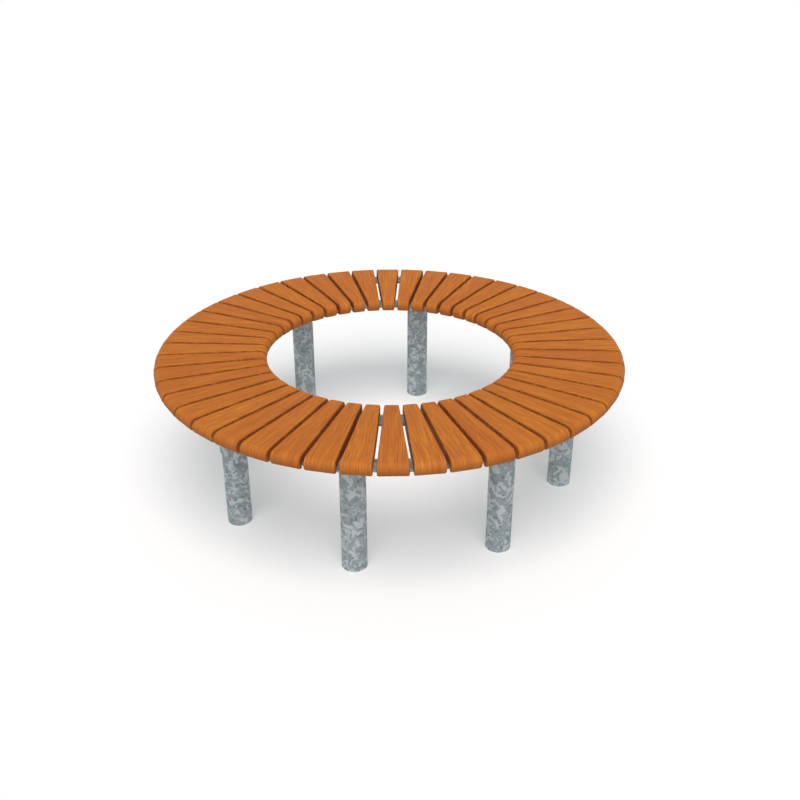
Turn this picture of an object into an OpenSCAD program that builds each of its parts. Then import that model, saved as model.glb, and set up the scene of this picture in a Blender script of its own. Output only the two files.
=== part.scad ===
// Round tree bench: radial slats on two steel ring rails, carried by posts under the gaps.
// Origin on the ring's axis at ground level, +Z up, millimetres.
// Angles run counter-clockwise seen from above, from -Y, where the first post stands.

/* [Seat ring] */
// From the ring's axis to the middle of a slat's round outer end
seat_outer_r = 750; // [700:5:900]
// From the ring's axis to the middle of a slat's round inner end
seat_inner_r = 397; // [385:1:440]
// Height of the seat's top face above the ground
seat_h = 450; // [380:1:520]
// Number of posts, spread evenly
post_count = 8; // [4, 8]
// Number of slats from one post to the next
slats_per_bay = 6; // [4:1:6]

/* [Slats] */
// Thickness of a slat, whose two ends are half-rounds of the same height
slat_t = 42.5; // [38:0.5:50]
// Width of the open gap between two slats, the same along its whole length
slat_gap = 11.5; // [10:0.5:16]
// Radius of the two long top edges
edge_round = 2; // [1:0.5:6]
// Radius of the two long bottom edges
under_round = 3; // [1:0.5:5]
// Radius of the four corners as seen from above
corner_round = 3; // [1:0.5:6]

/* [Rails] */
// Width of a rail across its flat
rail_w = 56; // [44:1:64]
// Thickness of a rail
rail_t = 8; // [6:1:12]
// Depth of the rails' top face below the seat's top face
rail_bed = 27; // [24:1:30]
// From a slat's inner end to the inner rail's edge
inner_rail_inset = 25; // [18:1:30]
// From a slat's outer end to the outer rail's edge
outer_rail_inset = 22; // [18:1:30]
// Open joint between the ends of two rail arcs
rail_joint = 2; // [1:0.5:4]
// Room on each side of a rail in the slats' housings
housing_clearance = 2; // [1:0.5:4]

/* [Posts] */
// Outside diameter of a post's tube
post_d = 76.1; // [60.3:0.1:88.9]
// Wall thickness of a post's tube
post_wall = 3.2; // [2:0.1:5]
// Thickness of the plate that closes a post's top
cap_t = 5; // [3:1:8]
// Gap between a post's top and the slats
post_top_gap = 0.5; // [0.3:0.1:3]

/* [Arms] */
// Thickness of the upright arm plate on a post
arm_t = 8; // [5:1:9]
// Depth of the arm below its pads, at the post
arm_root_depth = 44; // [25:1:70]
// Depth of the arm below its pads, at its tips
arm_tip_depth = 4; // [2:1:12]
// Thickness of the pads that the rails are bolted to
pad_t = 8; // [5:1:12]
// From a rail's edge to the pad's edge
pad_inset = 3; // [1:1:8]
// From a bolt's axis to the pad's side
pad_edge = 9; // [8:0.5:10]

/* [Rail bolts] */
// Shank diameter of a rail bolt
bolt_d = 8; // [6:1:8]
// Width of a rail bolt's hexagon head across its flats
bolt_head_w = 13; // [10:0.5:13]
// Height of a rail bolt's head
bolt_head_h = 5.3; // [4:0.1:8]
// From a rail bolt's end up to the rail's top face
bolt_end_gap = 1; // [0.5:0.5:3]
// Room round a rail bolt's shank in the pad
bolt_clearance = 0.5; // [0.2:0.1:0.8]

/* [Slat screws] */
// Shank diameter of a slat screw
screw_d = 5.5; // [4:0.5:6]
// Length of a slat screw's shank
screw_len = 25; // [20:1:27]
// Diameter of a slat screw's round head
screw_head_d = 11; // [9:0.5:11]
// Height of a slat screw's head
screw_head_h = 3.5; // [2.5:0.1:4]
// Width of the hexagon socket in a slat screw's head
socket_w = 4; // [3:0.5:5]
// Depth of the hexagon socket
socket_depth = 2; // [1:0.1:2]
// Room round a slat screw's shank in the rail
screw_clearance = 0.5; // [0.2:0.1:0.8]
// Depth of a slat's pilot hole beyond the screw's point
pilot_spare = 2; // [1:0.5:4]

/* [Hidden] */
// Room left round a shank where its thread grips
thread_room = 0.05;
// Room between a bolt's head and the arm plate
spanner_room = 1;
// Overshoot of cutting shapes past the faces that they cut
past = 1;
// How far the slats' plan lies outside their ends and sides, so that only its round corners cut
plan_spare = 0.2;
// Number of arcs that each rail is made of
rail_arcs = 4;
round_fn = 64;
small_fn = 24;

slat_count = post_count * slats_per_bay;
slat_pitch = 360 / slat_count;
post_pitch = 360 / post_count;
arc_pitch = 360 / rail_arcs;

// Heights above the ground
slat_under_z = seat_h - slat_t;
rail_top_z = seat_h - rail_bed;
rail_under_z = rail_top_z - rail_t;
pad_under_z = rail_under_z - pad_t;
post_top_z = slat_under_z - post_top_gap;

// Radii from the ring's axis
inner_rail_r = seat_inner_r + inner_rail_inset;
outer_rail_r = seat_outer_r - outer_rail_inset - rail_w;
rail_radii = [inner_rail_r, outer_rail_r];
post_circle_r = (inner_rail_r + outer_rail_r + rail_w) / 2;

// Places of the bolts beside the arm plate
bolt_head_r = bolt_head_w / sqrt(3);
bolt_side = arm_t / 2 + spanner_room + bolt_head_r;
pad_half_w = bolt_side + pad_edge;
bolt_len = pad_t + rail_t - bolt_end_gap;

// How far the widest slat reaches to each side
slat_reach = seat_outer_r * tan(slat_pitch / 2);

function slat_name(i) = str("slat_", i < 9 ? "0" : "", i + 1);
function post_name(i) = str("post_", i + 1);
function post_angle(i) = -90 + i * post_pitch;
function slat_angle(i) = -90 + (i + 0.5) * slat_pitch;

slat_names = [for (i = [0:slat_count - 1]) slat_name(i)];
post_names = [for (i = [0:post_count - 1]) post_name(i)];

// Helpers for outlines with exact round corners

function unit(v) = v / norm(v);
// The point where a corner's rounding leaves the side towards another corner
function tangent_point(corner, towards, radius, half_angle) =
    corner + unit(towards - corner) * radius / tan(half_angle);
function corner_half_angle(before, corner, after) =
    acos(unit(before - corner) * unit(after - corner)) / 2;
function corner_centre(before, corner, after, radius, half_angle) =
    corner + unit(unit(before - corner) + unit(after - corner)) * radius / sin(half_angle);

// A convex outline whose corners are rounded, each by its own radius
module rounded_outline(corners, radii) {
    n = len(corners);
    half_angles = [for (i = [0:n - 1])
        corner_half_angle(corners[(i + n - 1) % n], corners[i], corners[(i + 1) % n])];
    polygon([for (i = [0:n - 1], side = [n - 1, 1])
        tangent_point(corners[i], corners[(i + side) % n], radii[i], half_angles[i])]);
    for (i = [0:n - 1])
        if (radii[i] > 0)
            translate(corner_centre(corners[(i + n - 1) % n], corners[i], corners[(i + 1) % n],
                radii[i], half_angles[i]))
                circle(r = radii[i], $fn = round_fn);
}

// Slats: drawn along +X with the ring's axis at the origin

// Seen from above: a wedge whose sides run parallel to the gaps' middle lines
module slat_plan() {
    side_shift = (slat_gap / 2 - plan_spare) / cos(slat_pitch / 2);
    inner_end = seat_inner_r - plan_spare;
    outer_end = seat_outer_r + plan_spare;
    inner_half = inner_end * tan(slat_pitch / 2) - side_shift;
    outer_half = outer_end * tan(slat_pitch / 2) - side_shift;
    rounded_outline(
        [[inner_end, -inner_half], [outer_end, -outer_half],
         [outer_end, outer_half], [inner_end, inner_half]],
        [corner_round, corner_round, corner_round, corner_round]);
}

// Seen from the side, with a half-round at both ends
module slat_side_view() {
    end_round = slat_t / 2;
    translate([seat_inner_r + end_round, slat_under_z])
        square([seat_outer_r - seat_inner_r - slat_t, slat_t]);
    for (x = [seat_inner_r + end_round, seat_outer_r - end_round])
        translate([x, slat_under_z + end_round])
            circle(r = end_round, $fn = round_fn);
}

// A long block whose side lies on the gap's edge, with that side's two edges rounded
module slat_edge_block() {
    block_w = 2 * slat_reach;
    rotate([0, 0, slat_pitch / 2])
        rotate([90, 0, 90])
            linear_extrude(seat_outer_r + slat_reach)
                rounded_outline(
                    [[-slat_gap / 2 - block_w, slat_under_z], [-slat_gap / 2, slat_under_z],
                     [-slat_gap / 2, seat_h], [-slat_gap / 2 - block_w, seat_h]],
                    [0, under_round, edge_round, 0]);
}

// The groove across a slat's underside that a rail lies in
module rail_housing(rail_r) {
    start_x = rail_r * cos(slat_pitch / 2) - housing_clearance;
    end_x = rail_r + rail_w + housing_clearance;
    translate([start_x, -slat_reach, slat_under_z - past])
        cube([end_x - start_x, 2 * slat_reach, rail_top_z - slat_under_z + past]);
}

module slat_pilot_hole(rail_r) {
    translate([rail_r + rail_w / 2, 0, rail_top_z - past])
        cylinder(d = screw_d + 2 * thread_room, h = screw_len - rail_t + pilot_spare + past,
            $fn = small_fn);
}

module slat(i) {
    color("peru")
        rotate([0, 0, slat_angle(i)])
            difference() {
                intersection() {
                    translate([0, 0, slat_under_z])
                        linear_extrude(slat_t)
                            slat_plan();
                    translate([0, slat_reach, 0])
                        rotate([90, 0, 0])
                            linear_extrude(2 * slat_reach)
                                slat_side_view();
                    slat_edge_block();
                    mirror([0, 1, 0])
                        slat_edge_block();
                }
                for (rail_r = rail_radii) {
                    rail_housing(rail_r);
                    slat_pilot_hole(rail_r);
                }
            }
}

// Rails: each ring is four flat arcs whose ends meet over every second post

module at_rail_bolts(rail_r) {
    for (side = [-1, 1])
        translate([rail_r + rail_w / 2, side * bolt_side, 0])
            children();
}

module rail_arc(rail_r) {
    outer_r = rail_r + rail_w;
    posts_per_arc = post_count / rail_arcs;
    slats_per_arc = slat_count / rail_arcs;
    difference() {
        intersection() {
            difference() {
                translate([0, 0, rail_under_z])
                    cylinder(r = outer_r, h = rail_t, $fn = round_fn);
                translate([0, 0, rail_under_z - past])
                    cylinder(r = rail_r, h = rail_t + 2 * past, $fn = round_fn);
            }
            translate([rail_joint / 2, rail_joint / 2, rail_under_z - past])
                cube([outer_r, outer_r, rail_t + 2 * past]);
        }
        for (k = [0:posts_per_arc])
            rotate([0, 0, k * post_pitch])
                at_rail_bolts(rail_r)
                    translate([0, 0, rail_under_z - past])
                        cylinder(d = bolt_d + 2 * thread_room, h = rail_t + 2 * past,
                            $fn = small_fn);
        for (k = [0:slats_per_arc - 1])
            rotate([0, 0, (k + 0.5) * slat_pitch])
                translate([rail_r + rail_w / 2, 0, rail_under_z - past])
                    cylinder(d = screw_d + 2 * screw_clearance, h = rail_t + 2 * past,
                        $fn = small_fn);
    }
}

module rail_ring(rail_r) {
    color("lightslategray")
        for (k = [0:rail_arcs - 1])
            rotate([0, 0, -90 + k * arc_pitch])
                rail_arc(rail_r);
}

module inner_rail_arcs() {
    rail_ring(inner_rail_r);
}

module outer_rail_arcs() {
    rail_ring(outer_rail_r);
}

// Posts: a tube closed by a cap, with an upright arm plate through it and two pads

module post_tube() {
    translate([post_circle_r, 0, 0])
        difference() {
            cylinder(d = post_d, h = post_top_z, $fn = round_fn);
            translate([0, 0, -past])
                cylinder(d = post_d - 2 * post_wall, h = post_top_z - cap_t + past,
                    $fn = round_fn);
        }
}

// The plate stands in the gap between two slats and steps down under both rails
module arm_plate() {
    inner_tip = inner_rail_r + pad_inset;
    inner_step = inner_rail_r + rail_w + housing_clearance;
    outer_step = outer_rail_r - housing_clearance;
    outer_tip = outer_rail_r + rail_w - pad_inset;
    root_z = pad_under_z - arm_root_depth;
    tip_z = pad_under_z - arm_tip_depth;
    translate([0, arm_t / 2, 0])
        rotate([90, 0, 0])
            linear_extrude(arm_t)
                polygon([
                    [inner_tip, tip_z], [inner_tip, rail_under_z],
                    [inner_step, rail_under_z], [inner_step, rail_top_z],
                    [outer_step, rail_top_z], [outer_step, rail_under_z],
                    [outer_tip, rail_under_z], [outer_tip, tip_z],
                    [post_circle_r + post_d / 2, root_z], [post_circle_r - post_d / 2, root_z]]);
}

module rail_pad(rail_r) {
    difference() {
        translate([rail_r + pad_inset, -pad_half_w, pad_under_z])
            cube([rail_w - 2 * pad_inset, 2 * pad_half_w, pad_t]);
        at_rail_bolts(rail_r)
            translate([0, 0, pad_under_z - past])
                cylinder(d = bolt_d + 2 * bolt_clearance, h = pad_t + 2 * past, $fn = small_fn);
    }
}

module post(i) {
    color("lightgray")
        rotate([0, 0, post_angle(i)]) {
            post_tube();
            arm_plate();
            for (rail_r = rail_radii)
                rail_pad(rail_r);
        }
}

// Fasteners, all put in from below

module rail_bolt() {
    translate([0, 0, pad_under_z])
        cylinder(d = bolt_d, h = bolt_len, $fn = small_fn);
    translate([0, 0, pad_under_z - bolt_head_h])
        cylinder(r = bolt_head_r, h = bolt_head_h, $fn = 6);
}

module rail_bolts() {
    color("gray")
        for (i = [0:post_count - 1], rail_r = rail_radii)
            rotate([0, 0, post_angle(i)])
                at_rail_bolts(rail_r)
                    rail_bolt();
}

module slat_screw() {
    translate([0, 0, rail_under_z])
        cylinder(d = screw_d, h = screw_len, $fn = small_fn);
    difference() {
        translate([0, 0, rail_under_z - screw_head_h])
            cylinder(d = screw_head_d, h = screw_head_h, $fn = small_fn);
        translate([0, 0, rail_under_z - screw_head_h - past])
            cylinder(r = socket_w / sqrt(3), h = socket_depth + past, $fn = 6);
    }
}

module slat_screws() {
    color("silver")
        for (i = [0:slat_count - 1], rail_r = rail_radii)
            rotate([0, 0, slat_angle(i)])
                translate([rail_r + rail_w / 2, 0, 0])
                    slat_screw();
}

for (i = [0:slat_count - 1])
    slat(i);
for (i = [0:post_count - 1])
    post(i);
inner_rail_arcs();
outer_rail_arcs();
slat_screws();
rail_bolts();
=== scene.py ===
import math

import bmesh
import bpy
from bpy.props import FloatProperty, FloatVectorProperty, IntProperty, PointerProperty
from mathutils import Matrix, Vector


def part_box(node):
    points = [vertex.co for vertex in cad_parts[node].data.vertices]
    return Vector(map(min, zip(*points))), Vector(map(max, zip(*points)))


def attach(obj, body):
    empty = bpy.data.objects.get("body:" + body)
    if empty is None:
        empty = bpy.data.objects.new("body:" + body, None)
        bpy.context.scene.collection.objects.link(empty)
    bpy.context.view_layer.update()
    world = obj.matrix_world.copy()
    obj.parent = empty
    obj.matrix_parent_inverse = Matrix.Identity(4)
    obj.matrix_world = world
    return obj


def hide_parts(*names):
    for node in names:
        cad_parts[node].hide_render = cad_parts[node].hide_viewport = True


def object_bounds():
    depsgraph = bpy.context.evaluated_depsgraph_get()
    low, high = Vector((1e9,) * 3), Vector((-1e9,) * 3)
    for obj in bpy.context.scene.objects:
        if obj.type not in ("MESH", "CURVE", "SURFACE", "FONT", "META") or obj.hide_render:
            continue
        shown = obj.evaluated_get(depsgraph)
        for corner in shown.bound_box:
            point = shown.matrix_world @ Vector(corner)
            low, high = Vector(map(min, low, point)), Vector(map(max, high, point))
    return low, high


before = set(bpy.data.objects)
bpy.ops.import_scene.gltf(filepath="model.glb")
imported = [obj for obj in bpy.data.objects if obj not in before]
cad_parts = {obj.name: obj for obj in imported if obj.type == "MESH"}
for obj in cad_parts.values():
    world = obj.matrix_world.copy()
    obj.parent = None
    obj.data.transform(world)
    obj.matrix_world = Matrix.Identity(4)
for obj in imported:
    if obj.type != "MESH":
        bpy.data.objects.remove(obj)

bl_info = {
    "name": "Tree bench",
    "version": (1, 0, 0),
    "blender": (4, 5, 0),
    "location": "View3D > Sidebar > Tree bench",
    "description": "Dresses a round slatted bench: slats, posts, rails, fasteners and its stage",
    "category": "Object",
}

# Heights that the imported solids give
GROUND_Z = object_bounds()[0][2]
SEAT_TOP_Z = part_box("slat_01")[1][2]
SLAT_UNDER_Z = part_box("slat_01")[0][2]
RAIL_TOP_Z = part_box("inner_rail_arcs")[1][2]
RAIL_UNDER_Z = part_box("inner_rail_arcs")[0][2]

SLAT_NODES = sorted(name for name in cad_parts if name.startswith("slat_")
                    and name != "slat_screws")
POST_NODES = sorted(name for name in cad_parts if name.startswith("post_"))
RAIL_NODES = ["inner_rail_arcs", "outer_rail_arcs"]

# A slat's half-round ends
SLAT_END_R = (SEAT_TOP_Z - SLAT_UNDER_Z) / 2
SLAT_MIDDLE_Z = (SEAT_TOP_Z + SLAT_UNDER_Z) / 2

# How finely the round shapes are divided
SLAT_END_STEPS = 28
ROUNDING_STEPS = 6
EASING_STEPS = 2
TUBE_SIDES = 72
BOLT_HEAD_SIDES = 24
BOLT_SHANK_SIDES = 12
SCREW_HEAD_SIDES = 18
SCREW_SHANK_SIDES = 10
BEAD_SIDES = 8
FLOOR_SIDES = 96

# Corners closer than this, in metres, are merged
SAME_PLACE = 1e-6
# Edges that turn by more than this stay sharp
SHARP_DEGREES = 35.0
SHARP_BOLT_DEGREES = 25.0
# Edges of a plate that turn by more than this are eased
EASED_DEGREES = 20.0

# Weld beads: the ripples' pitch in metres, and how finely a bead is divided
RIPPLE_PITCH = 0.0024
STEPS_PER_RIPPLE = 3
FEWEST_STEPS = 6
# A bead's waves, its stray to the side and its size at the ends, as shares of its radius
RIPPLE_HEIGHT = 0.09
UNEVEN_HEIGHT = 0.06
STRAY = 0.08
BLUNT_END = 0.45
# How fast the longer waves and the taper run from one end of a bead to the other
UNEVEN_RATE = 37.0
STRAY_RATE = 9
TAPER_RATE = 9.0
# Shifts that make each bead a little different
UNEVEN_SHIFT = 3.1
PAD_WELD_SHIFT = 2.3
TUBE_WELD_SHIFT = 1.7

# Setbacks of the arm and the beads, in metres
ARM_BACK = 0.0004
PAD_WELD_BACK = 0.003
TUBE_WELD_FOOT = 0.001
TUBE_WELD_TOP = 0.006
# Shares of the weld size and of the bore
PAD_WELD_SHARE = 0.85
CAP_MIDDLE_SHARE = 0.25

# A bolt head's flat crown as a share of its half width, and the chamfer round it
BOLT_CROWN_SHARE = 0.93
BOLT_CHAMFER_DEGREES = 30.0
# Points of the shanks, in metres
BOLT_POINT = 0.001
SCREW_POINT = 0.004
SCREW_POINT_R = 0.0006
# A screw head's dome, as shares of its radius and height
SCREW_DOME = ((1.0, 0.28), (0.93, 0.62), (0.78, 0.88), (0.58, 1.0))

# Streaks of the wood: repeats to the metre along, across and up a slat, and their detail
STREAKS = {
    "patches": ((7.0, 44.0, 8.0), 2.0),
    "broad": ((9.0, 110.0, 10.0), 2.0),
    "middle": ((7.0, 280.0, 9.0), 2.0),
    "lines": ((9.0, 520.0, 11.0), 1.0),
    "fine": ((18.0, 1150.0, 22.0), 2.0),
    "pores": ((140.0, 2400.0, 160.0), 1.0),
}
# Marks: the noise at which they begin to show and show in full, and how strong they are
WOOD_PATCHES = (0.28, 0.72, 1.0)
WOOD_PORES = (0.64, 0.74, 0.22)
WOOD_DARK_STREAKS = {
    "broad": (0.46, 0.74, 0.40),
    "middle": (0.44, 0.68, 0.55),
    "lines": (0.46, 0.62, 0.52),
    "fine": (0.44, 0.60, 0.72),
}
ZINC_CLOUD_MARKS = (0.35, 0.65, 0.22)
ZINC_DULL_MARKS = (0.52, 0.66, 0.85)
ZINC_PALE_MARKS = (0.41, 0.51, 1.0)
ZINC_GRIT_MARKS = (0.3, 0.7, 0.10)
STEEL_STAINS = (0.35, 0.7, 1.0)

# The wood's pattern: its wander in metres, repeats to the metre, and shift in metres
GRAIN_WANDER = 0.010
GRAIN_WANDER_REPEATS = (3.0, 8.0, 2.0)
SLAT_TO_SLAT_SHIFT = (1.37, 0.713, 0.291)
# How far one slat's hue and depth of colour may lie from the middle
HUE_SWING = 0.002
DEPTH_SWING = 0.03
# Painted shade on the wood: distances in from a slat's side, then two depths below the top and a
# strength
SIDE_EDGE = 0.0015
SIDE_SKIN = 0.0003
SIDE_PAINTED_SHADE = (0.001, 0.014, 0.5)
END_PAINTED_SHADE = (0.002, 0.032, 0.65)

# Sizes of the zinc's blotches in metres, and how much the rails are shaded
POST_BLOTCH = 0.026
RAIL_BLOTCH = 0.018
RAIL_SHADE = 0.2
# The zinc's noises: repeats to the width of a blotch, detail and curl
ZINC_BANDS = (0.8, 1.0, 0.6)
ZINC_BROKEN = (1.3, 2.0, 0.5)
ZINC_DULL = (2.4, 2.0, 0.4)
ZINC_CLOUD = (0.4, 2.0, 0.0)
# How far the blotches curl, in blotch widths, and how often to that width
CURL_REACH = 1.3
CURL_REPEATS = 1.1
# How far the bands cut the pale blotches apart, and how strong those are
BAND_CUT = 1.1
PALE_STRENGTH = 0.85
# Repeats of the finest grain to the metre, and its share of the relief
ZINC_GRIT = 900.0
GRIT_SHARE = 0.25

# Bright steel: roughness of the clean metal, and how much rougher its stains are
BOLT_ROUGHNESS = 0.34
SCREW_ROUGHNESS = 0.22
STAIN_ROUGHENING = 0.15
# Stains to the metre, their brightness, and tool marks to a stain
BOLT_STAINS = 160.0
SCREW_STAINS = 220.0
STAIN_SHARE = 0.72
MARKS_TO_A_STAIN = 6.0

# Roughness of the wood and the zinc, from the noise's low end to its high end
WOOD_ROUGHNESS = (0.50, 0.62)
ZINC_ROUGHNESS = (0.60, 0.48)
# How metallic the shaders are, and how strong their plain reflection is
ZINC_METALLIC = 0.3
STEEL_METALLIC = 0.9
WOOD_SPECULAR = 0.04
ZINC_SPECULAR = 0.2

# Relief: strength, and the depth in metres of a height of one
WOOD_RELIEF = (0.2, 0.0004)
ZINC_RELIEF = (0.15, 0.0004)
STEEL_RELIEF = (0.12, 0.0002)
# How much the wood's fine streaks stand up and its pores lie down
FINE_STREAK_HEIGHT = 0.5
PORE_DEPTH = 1.5

# Stage: the sensor's width, distances in metres, and half the backdrop's soft upper edge
SENSOR_MM = 36.0
CAMERA_REACH = 100.0
LAMP_DISTANCE = 4.0
BACKDROP_BLUR = math.radians(6)


# Settings that a user would change

def length(name, description, default):
    """A size in metres, kept to the hundredth of a millimetre in the sidebar."""
    return FloatProperty(name=name, description=description, default=default, min=0.0,
                         precision=5, subtype="DISTANCE", unit="LENGTH")


def angle(name, description, degrees):
    """An angle, given here in degrees."""
    return FloatProperty(name=name, description=description, default=math.radians(degrees),
                         subtype="ANGLE", unit="ROTATION")


def share(name, description, default):
    """A plain number from nought to one."""
    return FloatProperty(name=name, description=description, default=default, min=0.0,
                         max=1.0)


def colour(name, description, red, green, blue):
    """A linear colour."""
    return FloatVectorProperty(name=name, description=description, size=3, min=0.0, max=1.0,
                               default=(red, green, blue), subtype="COLOR")


class RingSizes(bpy.types.PropertyGroup):
    """Sizes that place the repeated pieces round the ring"""
    seat_outer_r: length("Seat outer radius", "From the axis to a slat's outer end", 0.750)
    seat_inner_r: length("Seat inner radius", "From the axis to a slat's inner end", 0.397)
    inner_rail_r: length("Inner rail radius", "Inner edge of the inner rail", 0.422)
    outer_rail_r: length("Outer rail radius", "Inner edge of the outer rail", 0.672)
    rail_w: length("Rail width", "Width of a rail across its flat", 0.056)
    slat_count: IntProperty(name="Slats", description="Number of slats", default=48, min=8)
    post_count: IntProperty(name="Posts", description="Number of posts", default=8, min=3)
    first_post: angle("First post", "Direction of the first post from +X", -90)


class SlatSizes(bpy.types.PropertyGroup):
    """Sizes of one slat"""
    gap: length("Gap", "Open gap between two slats", 0.0115)
    edge_round: length("Edge rounding", "Radius of the long top edges", 0.002)
    corner_round: length("Corner rounding", "Radius of the edges round both ends", 0.0045)
    under_round: length("Under rounding", "Radius of the long bottom edges", 0.003)
    housing_room: length("Housing room", "Room on each side of a rail", 0.002)


class PostSizes(bpy.types.PropertyGroup):
    """Sizes of one post with its arm and pads"""
    circle_r: length("Post circle", "Radius of the circle that the posts stand on", 0.575)
    tube_d: length("Tube diameter", "Outside diameter of the tube", 0.0761)
    tube_wall: length("Tube wall", "Wall thickness of the tube", 0.0032)
    top_z: length("Top", "Height of the tube's closed top", 0.407)
    cap_t: length("Cap", "Thickness of the plate that closes the tube", 0.005)
    arm_t: length("Arm thickness", "Thickness of the upright arm plate", 0.008)
    arm_root: length("Arm root", "Depth of the arm below the pads at the tube", 0.044)
    arm_tip: length("Arm tip", "Depth of the arm below the pads at its tips", 0.004)
    pad_t: length("Pad thickness", "Thickness of the rail pads", 0.008)
    pad_half_w: length("Pad half width", "From the arm's middle to a pad's side", 0.021506)
    pad_inset: length("Pad inset", "From a rail's edge to a pad's edge", 0.003)
    edge_ease: length("Edge easing", "Broken edges of the plates", 0.0007)
    weld_r: length("Weld size", "Radius of a weld bead", 0.0024)


class FastenerSizes(bpy.types.PropertyGroup):
    """Sizes of the slat screws and rail bolts"""
    bolt_head_w: length("Bolt head", "Width of the hexagon head across flats", 0.013)
    bolt_head_h: length("Bolt head height", "Height of the hexagon head", 0.0053)
    bolt_d: length("Bolt shank", "Diameter of the bolt's shank", 0.008)
    bolt_len: length("Bolt length", "Length of the shank", 0.015)
    bolt_side: length("Bolt offset", "From the arm's middle to a bolt", 0.012506)
    screw_head_d: length("Screw head", "Diameter of the round head", 0.011)
    screw_head_h: length("Screw head height", "Height of the round head", 0.0035)
    screw_d: length("Screw shank", "Diameter of the screw's shank", 0.0055)
    screw_len: length("Screw length", "Length of the shank", 0.025)
    socket_w: length("Socket", "Width of the hexagon socket across flats", 0.004)
    socket_depth: length("Socket depth", "Depth of the hexagon socket", 0.002)


class Finishes(bpy.types.PropertyGroup):
    """Colours of the wood and the metals"""
    wood_light: colour("Light wood", "Pale streaks of the oiled wood", 0.672, 0.234, 0.0288)
    wood_mid: colour("Wood", "Main colour of the oiled wood", 0.584, 0.186, 0.0298)
    wood_dark: colour("Dark wood", "Reddish streaks of the oiled wood", 0.395, 0.1075, 0.0262)
    # Painted shade: a darker colour laid on the slats' sides in the gaps and on their ends
    wood_painted_shade: colour("Painted shade", "Darker sides and ends", 0.27, 0.092, 0.023)
    wood_pores: colour("Pores", "Open pores of the wood", 0.26, 0.062, 0.018)
    zinc_light: colour("Light zinc", "Pale blotches", 0.51, 0.54, 0.555)
    zinc_mid: colour("Zinc", "Main colour of the galvanising", 0.26, 0.308, 0.322)
    zinc_dark: colour("Dark zinc", "Dull spots", 0.164, 0.203, 0.212)
    stainless: colour("Stainless steel", "Slat screws", 0.55, 0.55, 0.54)
    plated: colour("Plated steel", "Rail bolts", 0.42, 0.44, 0.45)


class StageSettings(bpy.types.PropertyGroup):
    """Light, floor and camera"""
    key_share: share("Key light", "Share of the floor's light from the main lamp", 0.674)
    zenith_share: share("Top light", "Share of the floor's light from above", 0.192)
    sky_glow: share("Sky glow", "Glow from overhead, where one is white", 0.05)
    backdrop_glow: share("Backdrop glow", "Glow of the pale backdrop all round", 0.45)
    backdrop_top: angle("Backdrop top", "How high the backdrop reaches above level", 30)
    key_tilt: angle("Key tilt", "Main lamp's lean from straight above", 30)
    key_spread: angle("Key spread", "Width of the main lamp as seen from the bench", 53)
    zenith_spread: angle("Top spread", "Width of the top lamp", 64)
    floor_glow: share("Floor glow", "Glow that the floor throws back on the bench", 0.95)
    floor_base: colour("Floor base", "Part of the floor's white that no shadow darkens",
                       0.274, 0.324, 0.341)
    floor_r: length("Floor radius", "Radius of the pale floor", 9.0)
    camera_turn: angle("Camera turn", "Camera's turn round the bench from -Y", 10.664)
    camera_distance: length("Camera distance", "Along the floor to the axis", 2.9204)
    camera_height: length("Camera height", "Above the floor", 1.7542)
    camera_pitch: angle("Camera pitch", "Downwards from level", 27.87)
    camera_swing: angle("Camera swing", "To the right of the ring's axis", 0.654)
    lens_mm: FloatProperty(name="Lens", description="Focal length on a 36 mm sensor",
                           default=44.25, min=1.0, unit="CAMERA")
    shift_y: FloatProperty(name="Shift", description="Upright shift of the frame",
                           default=0.0145)


class BenchSettings(bpy.types.PropertyGroup):
    """All settings of the bench"""
    ring: PointerProperty(type=RingSizes)
    slat: PointerProperty(type=SlatSizes)
    post: PointerProperty(type=PostSizes)
    fastener: PointerProperty(type=FastenerSizes)
    finish: PointerProperty(type=Finishes)
    stage: PointerProperty(type=StageSettings)


# Node helpers, for shader and geometry trees alike

def add_node(tree, kind, inputs=None, **settings):
    """A new node; an input is given by name or number, as a value or as a socket to link."""
    node = tree.nodes.new(kind)
    for key, value in settings.items():
        setattr(node, key, value)
    for key, value in (inputs or {}).items():
        if isinstance(value, bpy.types.NodeSocket):
            tree.links.new(value, node.inputs[key])
        else:
            node.inputs[key].default_value = value
    return node


def maths(tree, operation, *values):
    node = add_node(tree, "ShaderNodeMath", dict(enumerate(values)), operation=operation)
    return node.outputs[0]


def vector_maths(tree, operation, *values):
    node = add_node(tree, "ShaderNodeVectorMath", dict(enumerate(values)), operation=operation)
    return node.outputs[0]


# Geometry Nodes: one piece repeated round the ring

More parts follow.
